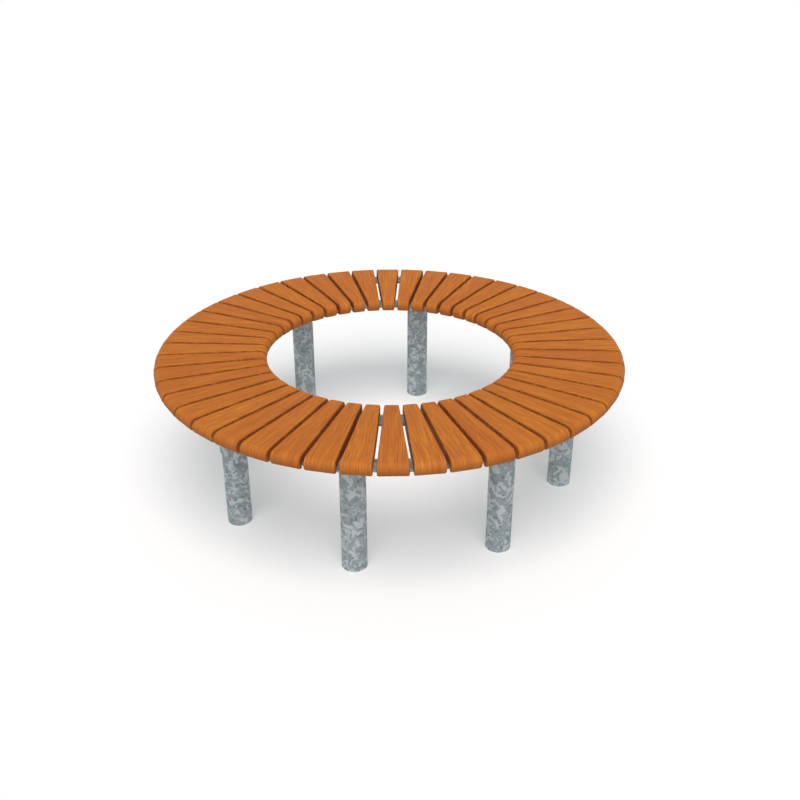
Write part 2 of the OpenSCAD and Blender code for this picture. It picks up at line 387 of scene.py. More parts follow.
def ring_tree():
    """Copies of the incoming mesh round the ring, one or more to each spoke."""
    tree = bpy.data.node_groups.new("Round the ring", "GeometryNodeTree")
    face = tree.interface
    face.new_socket("Geometry", in_out="INPUT", socket_type="NodeSocketGeometry")
    for name, kind in (("Spokes", "NodeSocketInt"), ("Per Spoke", "NodeSocketInt"),
                       ("First Angle", "NodeSocketFloat"), ("Inner Radius", "NodeSocketFloat"),
                       ("Outer Radius", "NodeSocketFloat"), ("Side Offset", "NodeSocketFloat"),
                       ("Free Turn", "NodeSocketFloat"), ("Seed", "NodeSocketInt"),
                       ("Material", "NodeSocketMaterial")):
        face.new_socket(name, in_out="INPUT", socket_type=kind)
    face.new_socket("Geometry", in_out="OUTPUT", socket_type="NodeSocketGeometry")
    given = tree.nodes.new("NodeGroupInput").outputs
    # Each vertex keeps its place on the drawn piece, for grain that follows the piece
    own = add_node(tree, "GeometryNodeStoreNamedAttribute",
                   {"Geometry": given["Geometry"], "Name": "own_place",
                    "Value": add_node(tree, "GeometryNodeInputPosition").outputs[0]},
                   data_type="FLOAT_VECTOR", domain="POINT")
    count = maths(tree, "MULTIPLY", given["Spokes"], given["Per Spoke"])
    points = add_node(tree, "GeometryNodePoints", {"Count": count})
    index = add_node(tree, "GeometryNodeInputIndex").outputs[0]
    spoke = maths(tree, "FLOOR", maths(tree, "DIVIDE", index, given["Per Spoke"]))
    spot = maths(tree, "MODULO", index, given["Per Spoke"])
    pitch = maths(tree, "DIVIDE", math.tau, given["Spokes"])
    turn = maths(tree, "MULTIPLY_ADD", spoke, pitch, given["First Angle"])
    radius_step = maths(tree, "SUBTRACT", given["Outer Radius"], given["Inner Radius"])
    radius = maths(tree, "MULTIPLY_ADD", maths(tree, "MODULO", spot, 2.0), radius_step,
                   given["Inner Radius"])
    pair = maths(tree, "FLOOR", maths(tree, "DIVIDE", spot, 2.0))
    which_side = maths(tree, "MULTIPLY_ADD", pair, 2.0, -1.0)
    side = maths(tree, "MULTIPLY", which_side, given["Side Offset"])
    at = add_node(tree, "ShaderNodeCombineXYZ", {"X": radius, "Y": side})
    placed = add_node(tree, "ShaderNodeVectorRotate", {"Vector": at.outputs[0], "Angle": turn},
                      rotation_type="Z_AXIS")
    points = add_node(tree, "GeometryNodeSetPosition",
                      {"Geometry": points.outputs[0], "Position": placed.outputs[0]})
    # Inputs 2 and 3 are the least and the most of a plain number
    chance = add_node(tree, "FunctionNodeRandomValue",
                      {2: -math.pi, 3: math.pi, "Seed": given["Seed"]}, data_type="FLOAT")
    yaw = maths(tree, "MULTIPLY_ADD", chance.outputs[1], given["Free Turn"], turn)
    facing = add_node(tree, "ShaderNodeCombineXYZ", {"Z": yaw})
    copies = add_node(tree, "GeometryNodeInstanceOnPoints",
                      {"Points": points.outputs[0], "Instance": own.outputs[0],
                       "Rotation": facing.outputs[0]})
    numbered = add_node(tree, "GeometryNodeStoreNamedAttribute",
                        {"Geometry": copies.outputs[0], "Name": "copy_id", "Value": spoke},
                        data_type="FLOAT", domain="INSTANCE")
    solid = add_node(tree, "GeometryNodeRealizeInstances", {0: numbered.outputs[0]})
    finished = add_node(tree, "GeometryNodeSetMaterial",
                        {"Geometry": solid.outputs[0], "Material": given["Material"]})
    add_node(tree, "NodeGroupOutput", {0: finished.outputs[0]})
    return tree


def round_the_ring(name, mesh, material, spokes, first_angle, per_spoke=1, radii=(0.0, 0.0),
                   side=0.0, free_turn=0.0, seed=0, widest_round=0.0):
    """One plain mesh object holding every copy of the drawn piece."""
    source = bpy.data.objects.new(name + "_drawn", mesh)
    if widest_round:
        ease = source.modifiers.new("Rounded edges", "BEVEL")
        ease.limit_method = "WEIGHT"
        ease.width = widest_round
        ease.segments = ROUNDING_STEPS
        ease.use_clamp_overlap = False
        ease.harden_normals = True
    repeat = source.modifiers.new("Round the ring", "NODES")
    tree = bpy.data.node_groups.get("Round the ring") or ring_tree()
    repeat.node_group = tree
    values = {"Spokes": spokes, "Per Spoke": per_spoke, "First Angle": first_angle,
              "Inner Radius": radii[0], "Outer Radius": radii[1], "Side Offset": side,
              "Free Turn": free_turn, "Seed": seed, "Material": material}
    for item in tree.interface.items_tree:
        if item.in_out == "INPUT" and item.name in values:
            repeat[item.identifier] = values[item.name]
    bpy.context.scene.collection.objects.link(source)
    graph = bpy.context.evaluated_depsgraph_get()
    baked = bpy.data.meshes.new_from_object(source.evaluated_get(graph),
                                            preserve_all_data_layers=True, depsgraph=graph)
    bpy.data.objects.remove(source)
    baked.name = name
    piece = bpy.data.objects.new(name, baked)
    bpy.context.scene.collection.objects.link(piece)
    if not baked.polygons:
        raise RuntimeError(name + " has no faces")
    return piece


# Mesh helpers

def finished_mesh(name, bm, sharp_degrees=SHARP_DEGREES):
    """Merges doubles, turns faces outwards, and marks the sharp edges of a smooth mesh."""
    bmesh.ops.remove_doubles(bm, verts=bm.verts, dist=SAME_PLACE)
    bmesh.ops.recalc_face_normals(bm, faces=bm.faces)
    for face in bm.faces:
        face.smooth = True
    weight = bm.edges.layers.float.get("bevel_weight_edge")
    for edge in bm.edges:
        to_be_rounded = weight is not None and edge[weight] > 0
        edge.smooth = to_be_rounded or edge.calc_face_angle(0.0) < math.radians(sharp_degrees)
    mesh = bpy.data.meshes.new(name)
    bm.to_mesh(mesh)
    bm.free()
    return mesh


def ring_of_vertices(bm, centre, radius, z, count):
    return [bm.verts.new((centre[0] + radius * math.cos(math.tau * k / count),
                          centre[1] + radius * math.sin(math.tau * k / count), z))
            for k in range(count)]


def join_rings(bm, lower, upper):
    count = len(lower)
    for k in range(count):
        after = (k + 1) % count
        bm.faces.new((lower[k], lower[after], upper[after], upper[k]))


def turned_shape(bm, centre, outline, count):
    """A turned solid from an outline of (radius, z), closed flat at its first and last point."""
    rings = [ring_of_vertices(bm, centre, radius, z, count) for radius, z in outline]
    for lower, upper in zip(rings, rings[1:]):
        join_rings(bm, lower, upper)
    bm.faces.new(rings[0])
    bm.faces.new(rings[-1])


def plate(bm, outline, thickness, ease, base_z=None):
    """A flat plate with eased edges, upright in XZ, or lying in XY from base_z upwards."""
    if base_z is None:
        low = [bm.verts.new((x, -thickness / 2, z)) for x, z in outline]
        high = [bm.verts.new((x, thickness / 2, z)) for x, z in outline]
    else:
        low = [bm.verts.new((x, y, base_z)) for x, y in outline]
        high = [bm.verts.new((x, y, base_z + thickness)) for x, y in outline]
    made = [bm.faces.new(low), bm.faces.new(high)]
    count = len(outline)
    for k in range(count):
        after = (k + 1) % count
        made.append(bm.faces.new((low[k], low[after], high[after], high[k])))
    bmesh.ops.recalc_face_normals(bm, faces=made)
    # Each edge once, always in the same order
    edges = list(dict.fromkeys(edge for face in made for edge in face.edges
                               if edge.calc_face_angle(0.0) > math.radians(EASED_DEGREES)))
    bmesh.ops.bevel(bm, geom=edges, offset=ease, segments=EASING_STEPS, profile=0.6,
                    affect="EDGES")


def weld_bead(bm, start, end, radius, phase):
    """A rippled bead laid along a corner, from start to end; the phase shifts its ripples."""
    start = Vector(start)
    end = Vector(end)
    span = (end - start).length
    along = (end - start).normalized()
    across = along.orthogonal().normalized()
    other = along.cross(across)
    steps = max(FEWEST_STEPS, int(span / RIPPLE_PITCH * STEPS_PER_RIPPLE))
    turns = [math.tau * j / BEAD_SIDES for j in range(BEAD_SIDES)]
    rings = []
    for k in range(steps + 1):
        part = k / steps
        run = span * part
        swell = 1.0 + RIPPLE_HEIGHT * math.sin(math.tau * run / RIPPLE_PITCH + phase)
        swell += UNEVEN_HEIGHT * math.sin(UNEVEN_RATE * part + phase * UNEVEN_SHIFT)
        taper = min(1.0, BLUNT_END + min(part, 1 - part) * TAPER_RATE)
        stray = STRAY * radius * math.sin(STRAY_RATE * part + phase)
        centre = start.lerp(end, part) + across * stray
        rings.append([bm.verts.new(centre + radius * swell * taper *
                                   (across * math.cos(turn) + other * math.sin(turn)))
                      for turn in turns])
    for lower, upper in zip(rings, rings[1:]):
        join_rings(bm, lower, upper)
    bm.faces.new(rings[0])
    bm.faces.new(rings[-1])


# Places that several pieces share

def half_slat_pitch(ring):
    """Half the angle from one slat to the next."""
    return math.pi / ring.slat_count


def rail_middles(ring):
    """Radii of the lines along the rails' middles, which the fasteners stand on."""
    return [rail_r + ring.rail_w / 2 for rail_r in (ring.inner_rail_r, ring.outer_rail_r)]


# The drawn pieces: slat and post along +X from the ring's axis, fasteners round their own axis

def half_round(middle_x, first_degrees, last_degrees):
    """Points of a slat's rounded end, seen from the side, as (x, z)."""
    sweep = last_degrees - first_degrees
    turns = [math.radians(first_degrees + sweep * k / SLAT_END_STEPS)
             for k in range(SLAT_END_STEPS + 1)]
    return [(middle_x + SLAT_END_R * math.cos(turn), SLAT_MIDDLE_Z + SLAT_END_R * math.sin(turn))
            for turn in turns]


def draw_slat(ring, slat):
    """A sharp slat whose edges carry the radius that the modifier rounds them by."""
    half_pitch = half_slat_pitch(ring)

    def half_width(x):
        return x * math.tan(half_pitch) - slat.gap / 2 / math.cos(half_pitch)

    housings = []
    for rail_r in (ring.inner_rail_r, ring.outer_rail_r):
        start_x = rail_r * math.cos(half_pitch) - slat.housing_room
        end_x = rail_r + ring.rail_w + slat.housing_room
        housings.append((start_x, end_x))
    (inner_start, inner_end), (outer_start, outer_end) = housings
    inner_middle = ring.seat_inner_r + SLAT_END_R
    outer_middle = ring.seat_outer_r - SLAT_END_R
    # The outer end's half-round stops at a housing just before its lowest point
    outer_cut = math.degrees(math.asin((outer_end - outer_middle) / SLAT_END_R))
    # Each point holds the rounding of the edge that leads on to the next point
    outline = [(x, z, slat.corner_round) for x, z in half_round(inner_middle, 90, 270)]
    outline[-1] = (*outline[-1][:2], slat.under_round)
    outline += [(inner_start, SLAT_UNDER_Z, 0.0), (inner_start, RAIL_TOP_Z, 0.0),
                (inner_end, RAIL_TOP_Z, 0.0), (inner_end, SLAT_UNDER_Z, slat.under_round),
                (outer_start, SLAT_UNDER_Z, 0.0), (outer_start, RAIL_TOP_Z, 0.0),
                (outer_end, RAIL_TOP_Z, 0.0)]
    outline += [(x, z, slat.corner_round)
                for x, z in half_round(outer_middle, -90 + outer_cut, 90)]
    outline[-1] = (*outline[-1][:2], slat.edge_round)
    bm = bmesh.new()
    weight = bm.edges.layers.float.new("bevel_weight_edge")
    sides = [[bm.verts.new((x, side * half_width(x), z)) for x, z, _ in outline]
             for side in (-1, 1)]
    right, left = sides
    bm.faces.new(right)
    bm.faces.new(left)
    join_rings(bm, right, left)
    # A weight of one stands for the corner rounding, the largest of the three
    for k, (_, _, onwards) in enumerate(outline):
        after = (k + 1) % len(outline)
        for side in sides:
            bm.edges.get((side[k], side[after]))[weight] = onwards / slat.corner_round
    return finished_mesh("slat_drawn", bm)


def draw_post(ring, post, slat):
    """The tube with its closed top, the arm plate, the pads and their weld beads."""
    bm = bmesh.new()
    centre = (post.circle_r, 0.0)
    outer_r = post.tube_d / 2
    inner_r = outer_r - post.tube_wall
    ease = post.edge_ease
    cap_middle_r = inner_r * CAP_MIDDLE_SHARE
    cap_under_z = post.top_z - post.cap_t
    turned_shape(bm, centre,
                 [(cap_middle_r, cap_under_z), (inner_r, cap_under_z),
                  (inner_r, GROUND_Z + ease), (inner_r + ease, GROUND_Z),
                  (outer_r - ease, GROUND_Z), (outer_r, GROUND_Z + ease),
                  (outer_r, post.top_z - ease), (outer_r - ease, post.top_z),
                  (cap_middle_r, post.top_z)], TUBE_SIDES)
    pad_under_z = RAIL_UNDER_Z - post.pad_t
    root_z = pad_under_z - post.arm_root
    tip_z = pad_under_z - post.arm_tip
    # The arm stays just inside the pads' faces, so that no two faces lie in one plane
    inner_tip = ring.inner_rail_r + post.pad_inset + ARM_BACK
    outer_tip = ring.outer_rail_r + ring.rail_w - post.pad_inset - ARM_BACK
    low_top = RAIL_UNDER_Z - ARM_BACK
    inner_step = ring.inner_rail_r + ring.rail_w + slat.housing_room
    outer_step = ring.outer_rail_r - slat.housing_room
    plate(bm, [(inner_tip, tip_z), (inner_tip, low_top), (inner_step, low_top),
               (inner_step, RAIL_TOP_Z), (outer_step, RAIL_TOP_Z), (outer_step, low_top),
               (outer_tip, low_top), (outer_tip, tip_z),
               (post.circle_r + outer_r, root_z), (post.circle_r - outer_r, root_z)],
          post.arm_t, ease)
    arm_side = post.arm_t / 2
    half_w = post.pad_half_w
    for k, rail_r in enumerate((ring.inner_rail_r, ring.outer_rail_r)):
        start_x = rail_r + post.pad_inset
        end_x = rail_r + ring.rail_w - post.pad_inset
        plate(bm, [(start_x, -half_w), (end_x, -half_w), (end_x, half_w), (start_x, half_w)],
              post.pad_t, ease, base_z=pad_under_z)
        for side in (-1, 1):
            weld_bead(bm, (start_x + PAD_WELD_BACK, side * arm_side, pad_under_z),
                      (end_x - PAD_WELD_BACK, side * arm_side, pad_under_z),
                      post.weld_r * PAD_WELD_SHARE, phase=side + PAD_WELD_SHIFT * k)
    # Upright beads in the four corners between the arm and the tube
    wall_x = math.sqrt(outer_r ** 2 - arm_side ** 2)
    for toward in (-1, 1):
        corner_x = post.circle_r + toward * wall_x
        for side in (-1, 1):
            weld_bead(bm, (corner_x, side * arm_side, root_z + TUBE_WELD_FOOT),
                      (corner_x, side * arm_side, post.top_z - TUBE_WELD_TOP),
                      post.weld_r, phase=TUBE_WELD_SHIFT * toward + side)
    return finished_mesh("post_drawn", bm)


def draw_bolt(fastener, post):
    """A hexagon head with a chamfered crown, below its shank."""
    bm = bmesh.new()
    seat_z = RAIL_UNDER_Z - post.pad_t
    crown_z = seat_z - fastener.bolt_head_h
    flat_r = fastener.bolt_head_w / 2
    crown_r = flat_r * BOLT_CROWN_SHARE
    chamfer = math.tan(math.radians(BOLT_CHAMFER_DEGREES))
    base = []
    rim = []
    for k in range(BOLT_HEAD_SIDES):
        turn = math.tau * k / BOLT_HEAD_SIDES
        to_flat = (turn + math.pi / 6) % (math.pi / 3) - math.pi / 6
        reach = flat_r / math.cos(to_flat)
        x = reach * math.cos(turn)
        y = reach * math.sin(turn)
        base.append(bm.verts.new((x, y, seat_z)))
        rim.append(bm.verts.new((x, y, crown_z + (reach - crown_r) * chamfer)))
    crown = ring_of_vertices(bm, (0.0, 0.0), crown_r, crown_z, BOLT_HEAD_SIDES)
    join_rings(bm, crown, rim)
    join_rings(bm, rim, base)
    bm.faces.new(crown)
    bm.faces.new(base)
    shank_r = fastener.bolt_d / 2
    end_z = seat_z + fastener.bolt_len
    turned_shape(bm, (0.0, 0.0), [(shank_r, seat_z), (shank_r, end_z - BOLT_POINT),
                                  (shank_r - BOLT_POINT, end_z)], BOLT_SHANK_SIDES)
    return finished_mesh("bolt_drawn", bm, SHARP_BOLT_DEGREES)


def draw_screw(fastener):
    """A domed head with a hexagon socket, below its shank."""
    bm = bmesh.new()
    seat_z = RAIL_UNDER_Z
    crown_z = seat_z - fastener.screw_head_h
    head_r = fastener.screw_head_d / 2
    socket_r = fastener.socket_w / math.sqrt(3)
    rim = ring_of_vertices(bm, (0.0, 0.0), head_r, seat_z, SCREW_HEAD_SIDES)
    rings = [rim]
    for part_r, part_h in SCREW_DOME:
        rings.append(ring_of_vertices(bm, (0.0, 0.0), head_r * part_r,
                                      seat_z + (crown_z - seat_z) * part_h,
                                      SCREW_HEAD_SIDES))
    for lower, upper in zip(rings, rings[1:]):
        join_rings(bm, lower, upper)
    bm.faces.new(rim)
    flat = rings[-1]
    mouth = ring_of_vertices(bm, (0.0, 0.0), socket_r, crown_z, 6)
    floor = ring_of_vertices(bm, (0.0, 0.0), socket_r, crown_z + fastener.socket_depth, 6)
    # Each side of the socket takes a sixth of the head's corners
    sixth = SCREW_HEAD_SIDES // 6
    for k in range(6):
        after = (k + 1) % 6
        arc = [flat[(sixth * k + j) % SCREW_HEAD_SIDES] for j in range(sixth + 1)]
        bm.faces.new(arc + [mouth[after], mouth[k]])
    join_rings(bm, mouth, floor)
    bm.faces.new(floor)
    shank_r = fastener.screw_d / 2
    end_z = seat_z + fastener.screw_len
    turned_shape(bm, (0.0, 0.0), [(shank_r, seat_z), (shank_r, end_z - SCREW_POINT),
                                  (SCREW_POINT_R, end_z)], SCREW_SHANK_SIDES)
    return finished_mesh("screw_drawn", bm)


# Materials

def new_material(name):
    """A material with its node tree and its main shader."""
    material = bpy.data.materials.new(name)
    material.use_nodes = True
    tree = material.node_tree
    shader = next(node for node in tree.nodes if node.type == "BSDF_PRINCIPLED")
    return material, tree, shader


def noise(tree, place, scale, detail=2.0, roughness=0.5, distortion=0.0):
    node = add_node(tree, "ShaderNodeTexNoise",
                    {"Vector": place, "Scale": scale, "Detail": detail,
                     "Roughness": roughness, "Distortion": distortion})
    return node.outputs["Fac"]


def blend_colours(tree, amount, first, second):
    """From the first colour to the second; each value is a socket, a number or a colour."""
    node = tree.nodes.new("ShaderNodeMix")
    node.data_type = "RGBA"
    # Inputs 6 and 7 and output 2 are the colours'
    for socket, value in ((node.inputs[0], amount), (node.inputs[6], first),
                          (node.inputs[7], second)):
        if isinstance(value, bpy.types.NodeSocket):
            tree.links.new(value, socket)
        elif isinstance(value, (int, float)):
            socket.default_value = value
        else:
            socket.default_value = (*value, 1.0)
    return node.outputs[2]


def spread(tree, value, low, high, to_low=0.0, to_high=1.0):
    """Eases a value from one range into another."""
    node = add_node(tree, "ShaderNodeMapRange",
                    {"Value": value, "From Min": low, "From Max": high,
                     "To Min": to_low, "To Max": to_high}, interpolation_type="SMOOTHSTEP")
    return node.outputs[0]


def marks(tree, value, start, full, strength):
    """How strongly a noise shows: nought up to its start, and all its strength from full on."""
    return spread(tree, value, start, full, 0.0, strength)


def relief(tree, shader, height, strength, depth):
    """Gives the shader fine relief; the depth in metres is that of a height of one."""
    bump = add_node(tree, "ShaderNodeBump", {"Strength": strength, "Distance": depth,
                                             "Height": height})
    tree.links.new(bump.outputs[0], shader.inputs["Normal"])


def oiled_hardwood(finish, ring, slat):
    """Long low-contrast streaks that run with the slat and over its rounded ends."""
    material, tree, shader = new_material("Oiled hardwood")
    own = add_node(tree, "ShaderNodeAttribute", attribute_name="own_place").outputs["Vector"]
    number = add_node(tree, "ShaderNodeAttribute", attribute_name="copy_id").outputs["Fac"]
    # The pattern starts at another place on every slat
    apart = vector_maths(tree, "MULTIPLY", add_node(tree, "ShaderNodeCombineXYZ", {
        "X": number, "Y": number, "Z": number}).outputs[0], SLAT_TO_SLAT_SHIFT)
    place = vector_maths(tree, "ADD", own, apart)
    # The grain wanders a little to the side along the slat
    wander = noise(tree, vector_maths(tree, "MULTIPLY", place, GRAIN_WANDER_REPEATS), 1.0, 1.0)
    wander = maths(tree, "MULTIPLY", maths(tree, "SUBTRACT", wander, 0.5), GRAIN_WANDER)
    side = add_node(tree, "ShaderNodeCombineXYZ", {"Y": wander}).outputs[0]
    grain = vector_maths(tree, "ADD", place, side)
    streaks = {kind: noise(tree, vector_maths(tree, "MULTIPLY", grain, repeats), 1.0, detail)
               for kind, (repeats, detail) in STREAKS.items()}
    body = blend_colours(tree, marks(tree, streaks["patches"], *WOOD_PATCHES),
                         finish.wood_mid, finish.wood_light)
    for kind, showing in WOOD_DARK_STREAKS.items():
        body = blend_colours(tree, marks(tree, streaks[kind], *showing), body,
                             finish.wood_dark)
    # Painted shade: the sides that face into the gaps, and the ends lower down, are darkened by
    # their depth below the top, standing in for shade
    spot = add_node(tree, "ShaderNodeSeparateXYZ", {0: own}).outputs
    half_pitch = half_slat_pitch(ring)
    off_middle = maths(tree, "MULTIPLY", maths(tree, "ABSOLUTE", spot["Y"]),
                       math.cos(half_pitch))
    from_side = maths(tree, "SUBTRACT",
                      maths(tree, "MULTIPLY_ADD", spot["X"], math.sin(half_pitch),
                            -slat.gap / 2), off_middle)
    on_side = spread(tree, from_side, SIDE_EDGE, SIDE_SKIN)

    def painted_shade_below_top(first_depth, last_depth, most):
        """Painted shade, growing between two depths below the seat's top face."""
        return marks(tree, spot["Z"], SEAT_TOP_Z - first_depth, SEAT_TOP_Z - last_depth, most)

    side_shade = painted_shade_below_top(*SIDE_PAINTED_SHADE)
    end_shade = painted_shade_below_top(*END_PAINTED_SHADE)
    painted_shade = maths(tree, "MAXIMUM", maths(tree, "MULTIPLY", on_side, side_shade), end_shade)
    body = blend_colours(tree, painted_shade, body, finish.wood_painted_shade)
    pores = marks(tree, streaks["pores"], *WOOD_PORES)
    body = blend_colours(tree, pores, body, finish.wood_pores)
    # Every slat has its own depth of colour
    pick = add_node(tree, "ShaderNodeTexWhiteNoise", {"W": number}, noise_dimensions="1D")
    chance = pick.outputs["Value"]
    tone = add_node(tree, "ShaderNodeHueSaturation",
                    {"Hue": spread(tree, chance, 0.0, 1.0, 0.5 - HUE_SWING, 0.5 + HUE_SWING),
                     "Value": spread(tree, chance, 0.0, 1.0, 1 - DEPTH_SWING, 1 + DEPTH_SWING),
                     "Color": body})
    tree.links.new(tone.outputs[0], shader.inputs["Base Color"])
    tree.links.new(spread(tree, streaks["middle"], 0.3, 0.7, *WOOD_ROUGHNESS),
                   shader.inputs["Roughness"])
    shader.inputs["Specular IOR Level"].default_value = WOOD_SPECULAR
    height = maths(tree, "SUBTRACT",
                   maths(tree, "MULTIPLY", streaks["fine"], FINE_STREAK_HEIGHT),
                   maths(tree, "MULTIPLY", pores, PORE_DEPTH))
    relief(tree, shader, height, *WOOD_RELIEF)
    return material


def galvanised(name, finish, blotch, shade):
    """Hot-dip zinc: soft curled pale blotches and small dull spots on a mid grey.

    The blotch is a pale patch's size in metres, and the shade darkens the whole.
    """
    material, tree, shader = new_material(name)
    place = add_node(tree, "ShaderNodeTexCoord").outputs["Object"]
    ragged = add_node(tree, "ShaderNodeTexNoise",
                      {"Vector": place, "Scale": CURL_REPEATS / blotch, "Detail": 2.0,
                       "Roughness": 0.5})
    push = vector_maths(tree, "SUBTRACT", ragged.outputs["Color"], (0.5, 0.5, 0.5))
    push = vector_maths(tree, "MULTIPLY", push, (blotch * CURL_REACH,) * 3)
    curled = vector_maths(tree, "ADD", place, push)

    def zinc_noise(where, repeats, detail, curl):
        return noise(tree, where, repeats / blotch, detail, distortion=curl)

    bands = zinc_noise(curled, *ZINC_BANDS)
    off_band = maths(tree, "ABSOLUTE", maths(tree, "SUBTRACT", bands, 0.5))
    broken = zinc_noise(curled, *ZINC_BROKEN)
    pale = maths(tree, "SUBTRACT", broken, maths(tree, "MULTIPLY", off_band, BAND_CUT))
    dull = zinc_noise(curled, *ZINC_DULL)
    cloud = zinc_noise(place, *ZINC_CLOUD)
    grit = noise(tree, place, ZINC_GRIT)
    pale_marks = marks(tree, pale, *ZINC_PALE_MARKS)
    body = blend_colours(tree, marks(tree, cloud, *ZINC_CLOUD_MARKS), finish.zinc_mid,
                         finish.zinc_light)
    body = blend_colours(tree, marks(tree, dull, *ZINC_DULL_MARKS), body, finish.zinc_dark)
    body = blend_colours(tree, maths(tree, "MULTIPLY", pale_marks, PALE_STRENGTH), body,
                         finish.zinc_light)
    body = blend_colours(tree, marks(tree, grit, *ZINC_GRIT_MARKS), body, finish.zinc_dark)
    body = blend_colours(tree, shade, body, finish.zinc_dark)
    tree.links.new(body, shader.inputs["Base Color"])
    tree.links.new(spread(tree, pale, 0.4, 0.65, *ZINC_ROUGHNESS), shader.inputs["Roughness"])
    shader.inputs["Metallic"].default_value = ZINC_METALLIC
    shader.inputs["Specular IOR Level"].default_value = ZINC_SPECULAR
    height = maths(tree, "ADD", pale_marks, maths(tree, "MULTIPLY", grit, GRIT_SHARE))
    relief(tree, shader, height, *ZINC_RELIEF)
    return material


def plain_metal(name, bright, roughness, stain_scale):
    """Bright fastener steel with faint tool marks and stains."""
    material, tree, shader = new_material(name)
    place = add_node(tree, "ShaderNodeTexCoord").outputs["Object"]
    stain = noise(tree, place, stain_scale, 3.0, 0.6)
    stained = tuple(STAIN_SHARE * part for part in bright)
    body = blend_colours(tree, marks(tree, stain, *STEEL_STAINS), tuple(bright), stained)
    tree.links.new(body, shader.inputs["Base Color"])
    tree.links.new(spread(tree, stain, 0.3, 0.7, roughness, roughness + STAIN_ROUGHENING),
                   shader.inputs["Roughness"])
    shader.inputs["Metallic"].default_value = STEEL_METALLIC
    tool_marks = noise(tree, place, stain_scale * MARKS_TO_A_STAIN)
    relief(tree, shader, tool_marks, *STEEL_RELIEF)
    return material


def seen_directly(tree):
    """One for rays from the camera, off metal or through glass, and nought for diffuse."""
    path = add_node(tree, "ShaderNodeLightPath").outputs
    either = maths(tree, "MAXIMUM", path["Is Camera Ray"], path["Is Glossy Ray"])
    return maths(tree, "MAXIMUM", either, path["Is Transmission Ray"])


# Operators

def settings():
    return bpy.context.scene.tree_bench


def mount(piece, slot, *nodes):
    """Fixes a finished piece to the frame in place of the plain nodes."""
    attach(piece, "root")
    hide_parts(*nodes)


class TREE_BENCH_OT_slats(bpy.types.Operator):
    """Builds the slats with rounded ends, housings and wood grain"""
    bl_idname = "tree_bench.slats"
    bl_label = "Slats"

    def execute(self, context):
        bench = settings()
        ring = bench.ring
        slats = round_the_ring("slats", draw_slat(ring, bench.slat),
                               oiled_hardwood(bench.finish, ring, bench.slat),
                               ring.slat_count, ring.first_post + half_slat_pitch(ring),
                               widest_round=bench.slat.corner_round)
        mount(slats, "oiled_hardwood", *SLAT_NODES)
        return {"FINISHED"}


class TREE_BENCH_OT_posts(bpy.types.Operator):
    """Builds the galvanised posts with their arms, pads and weld beads"""
    bl_idname = "tree_bench.posts"
    bl_label = "Posts"

    def execute(self, context):
        bench = settings()
        posts = round_the_ring("posts", draw_post(bench.ring, bench.post, bench.slat),
                               galvanised("Galvanised posts", bench.finish, POST_BLOTCH, 0.0),
                               bench.ring.post_count, bench.ring.first_post)
        mount(posts, "galvanised_posts", *POST_NODES)
        return {"FINISHED"}


class TREE_BENCH_OT_rails(bpy.types.Operator):
    """Gives both ring rails their galvanised finish"""
    bl_idname = "tree_bench.rails"
    bl_label = "Rails"

    def execute(self, context):
        material = galvanised("Galvanised rails", settings().finish, RAIL_BLOTCH, RAIL_SHADE)
        for name in RAIL_NODES:
            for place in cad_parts[name].material_slots:
                place.material = material
        return {"FINISHED"}


class TREE_BENCH_OT_bolts(bpy.types.Operator):
    """Builds the hexagon bolts that hold the rails on the posts' pads"""
    bl_idname = "tree_bench.bolts"
    bl_label = "Rail bolts"

    def execute(self, context):
        bench = settings()
        ring = bench.ring
        bolts = round_the_ring("bolts", draw_bolt(bench.fastener, bench.post),
                               plain_metal("Zinc bolts", bench.finish.plated,
                                           BOLT_ROUGHNESS, BOLT_STAINS),
                               ring.post_count, ring.first_post, per_spoke=4,
                               radii=rail_middles(ring), side=bench.fastener.bolt_side,
                               free_turn=1.0, seed=7)
        mount(bolts, "zinc_bolts", "rail_bolts")
        return {"FINISHED"}


class TREE_BENCH_OT_screws(bpy.types.Operator):
    """Builds the socket screws that hold the slats on the rails"""
    bl_idname = "tree_bench.screws"
    bl_label = "Slat screws"

    def execute(self, context):
        bench = settings()
        ring = bench.ring
        screws = round_the_ring("screws", draw_screw(bench.fastener),
                                plain_metal("Stainless screws", bench.finish.stainless,
                                            SCREW_ROUGHNESS, SCREW_STAINS),
                                ring.slat_count, ring.first_post + half_slat_pitch(ring),
                                per_spoke=2, radii=rail_middles(ring), free_turn=1.0, seed=11)
        mount(screws, "stainless_screws", "slat_screws")
        return {"FINISHED"}


class TREE_BENCH_OT_stage(bpy.types.Operator):
    """Sets the pale floor, the soft lamps and the camera"""
    bl_idname = "tree_bench.stage"
    bl_label = "Stage"

    def execute(self, context):
        stage = settings().stage
        set_floor(stage)
        set_world(stage)
        key_side = Matrix.Rotation(stage.camera_turn, 3, "Z") @ Vector((0.0, -1.0, 0.0))
        upright = Vector((0.0, 0.0, 1.0))
        key_from = upright * math.cos(stage.key_tilt) + key_side * math.sin(stage.key_tilt)
        set_lamp("Key lamp", key_from, stage.key_share, stage.key_spread)
        set_lamp("Top lamp", upright, stage.zenith_share, stage.zenith_spread)
        set_camera(stage)
        context.scene.view_settings.view_transform = "Standard"
        return {"FINISHED"}


